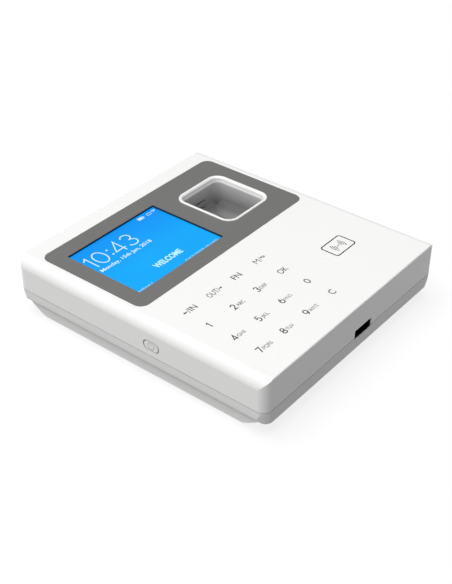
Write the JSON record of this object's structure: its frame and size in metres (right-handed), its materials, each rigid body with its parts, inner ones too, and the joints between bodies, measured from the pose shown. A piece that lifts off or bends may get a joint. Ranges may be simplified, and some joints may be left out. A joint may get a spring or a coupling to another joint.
{
  "type": "punch time clock",
  "caption": "Square white terminal that lies flat or hangs on a wall: grey panel with colour screen and fingerprint well, touch keypad, card reader zone, side power button and data ports.",
  "frame": {"origin": "centre of the bounding box's bottom face, on the surface under the rubber feet", "axes": "+X to the reader's right, +Y towards the screen end, +Z out of the face"},
  "size_m": [0.13, 0.14, 0.03],
  "materials": {
    "white_case": "gloss",
    "white_rear": "gloss",
    "white_ring": "gloss",
    "white_button": "gloss",
    "grey_panel": "satin",
    "clear_lens": "gloss",
    "screen": "gloss",
    "black_foam": "matte",
    "steel": "satin",
    "polyimide": "satin",
    "ribbon": "satin",
    "grey_liner": "satin",
    "sensor_window": "gloss",
    "black_plastic": "satin",
    "circuit_board": "satin",
    "copper": "satin",
    "red_wire": "satin",
    "paper": "matte",
    "gold": "polished",
    "screw_steel": "satin",
    "galvanised_steel": "satin",
    "black_rubber": "matte"
  },
  "bodies": {
    "case": {"front_cover": "white_case", "rear_cover": "white_rear", "display_panel": "grey_panel", "display_lens": "clear_lens", "lcd_gasket": "black_foam", "lcd_glass": "screen", "lcd_backlight": "steel", "lcd_ribbon": "polyimide", "sensor_bezel": "white_ring", "sensor_well": "grey_liner", "sensor_glass": "sensor_window", "sensor_module": "black_plastic", "sensor_board": "circuit_board", "sensor_cable": "ribbon", "touch_board": "circuit_board", "touch_pads": "copper", "touch_ribbon": "polyimide", "card_reader_board": "circuit_board", "card_reader_coil": "copper", "card_reader_lead": "red_wire", "main_board": "circuit_board", "main_chips": "black_plastic", "radio_shield": "steel", "cell_holder": "black_plastic", "coin_cell": "steel", "speaker_frame": "black_plastic", "speaker_cone": "paper", "speaker_magnet": "steel", "usb_shell": "steel", "usb_tongue": "black_plastic", "usb_contacts": "gold", "ethernet_jack": "steel", "ethernet_contacts": "gold", "dc_jack": "black_plastic", "dc_pin": "steel", "power_switch": "black_plastic", "case_screws": "screw_steel", "board_screws": "screw_steel", "rubber_feet": "black_rubber"},
    "power_button": {"power_button": "white_button"},
    "switch_plunger": {"switch_plunger": "ribbon"},
    "wall_plate": {"wall_plate": "galvanised_steel"}
  },
  "joints": [
    {"name": "power_button_press", "type": "slide", "parent": "case", "child": "power_button", "axis": [1, 0, 0], "range_m": [0, 0.0005], "stiffness_N_per_m": 600},
    {"name": "switch_plunger_press", "type": "slide", "parent": "case", "child": "switch_plunger", "axis": [1, 0, 0], "range_m": [0, 0.0005]},
    {"name": "wall_plate_slide", "type": "slide", "parent": "case", "child": "wall_plate", "axis": [0, -1, 0], "range_m": [0, 0.008]}
  ],
  "couplings": [
    {"joint": "switch_plunger_press", "follows": "power_button_press", "ratio": 1}
  ]
}
